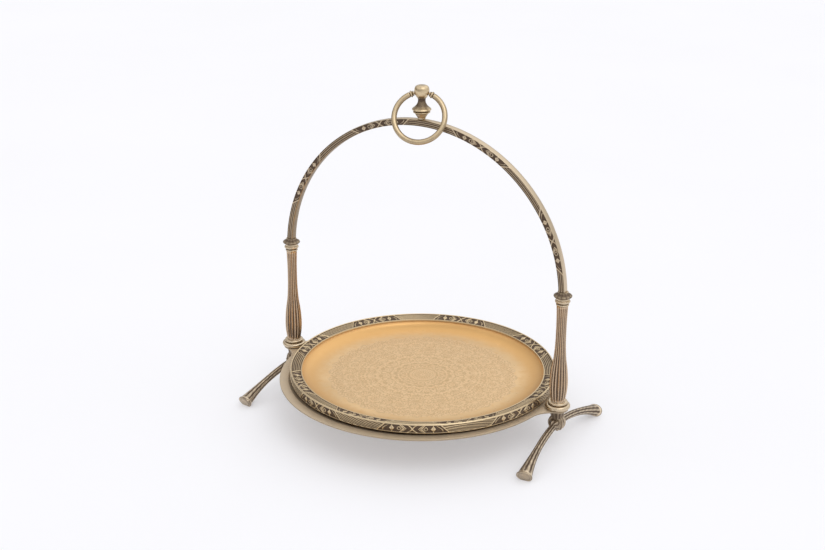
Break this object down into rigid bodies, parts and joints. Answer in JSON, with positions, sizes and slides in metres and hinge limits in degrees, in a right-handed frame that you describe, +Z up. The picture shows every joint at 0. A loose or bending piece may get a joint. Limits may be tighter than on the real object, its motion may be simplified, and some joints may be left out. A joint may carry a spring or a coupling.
{
  "type": "hanging serving tray",
  "caption": "Round lift-off serving tray on a footed plate, with fluted columns, an arched carrying handle and a hanging ring.",
  "frame": {"origin": "on the table, under the middle of the plate, midway between the two columns", "axes": "+Z up, X along the line through the two columns so the arch lies in the XZ plane, front towards -Y where the ring hangs"},
  "size_m": [0.3214, 0.27, 0.3243],
  "materials": {
    "plate_brass": "satin champagne brass, spun",
    "pan_brass": "satin warm gold with a fine engraved arabesque",
    "rim_brass": "antiqued cast ornament, dark in the recesses and worn on the ridges",
    "arch_brass": "antiqued, chased front and back faces, plain outer face",
    "column_brass": "antiqued, brownish flutes with worn ridges",
    "foot_brass": "antiqued reeded casting",
    "ring_brass": "polished yellow brass, lightly aged",
    "fastener_steel": "plain"
  },
  "bodies": {
    "stand": {"base_plate": "plate_brass", "arch_handle": "arch_brass", "finial_seat": "arch_brass", "finial_knob": "ring_brass", "finial_stud": "fastener_steel", "left_foot": "foot_brass", "left_foot_washer": "fastener_steel", "left_foot_screw": "fastener_steel", "left_column_base": "column_brass", "left_column_shaft": "column_brass", "left_capital": "column_brass", "left_ferrule": "arch_brass", "left_arch_stud": "fastener_steel", "right_foot": "foot_brass", "right_foot_washer": "fastener_steel", "right_foot_screw": "fastener_steel", "right_column_base": "column_brass", "right_column_shaft": "column_brass", "right_capital": "column_brass", "right_ferrule": "arch_brass", "right_arch_stud": "fastener_steel"},
    "tray": {"tray_pan": "pan_brass", "tray_rim": "rim_brass"},
    "ring": {"ring_pull": "ring_brass", "ring_axle": "ring_brass"}
  },
  "joints": [
    {"name": "tray_lift", "type": "slide", "parent": "stand", "child": "tray", "axis": [0, -0.7071, 0.7071], "range_m": [0, 0.25]},
    {"name": "ring_swing", "type": "hinge", "parent": "stand", "child": "ring", "pos_m": [0, 0, 0.3162], "axis": [-0.9537, -0.3007, 0], "range_deg": [0, 300]}
  ]
}
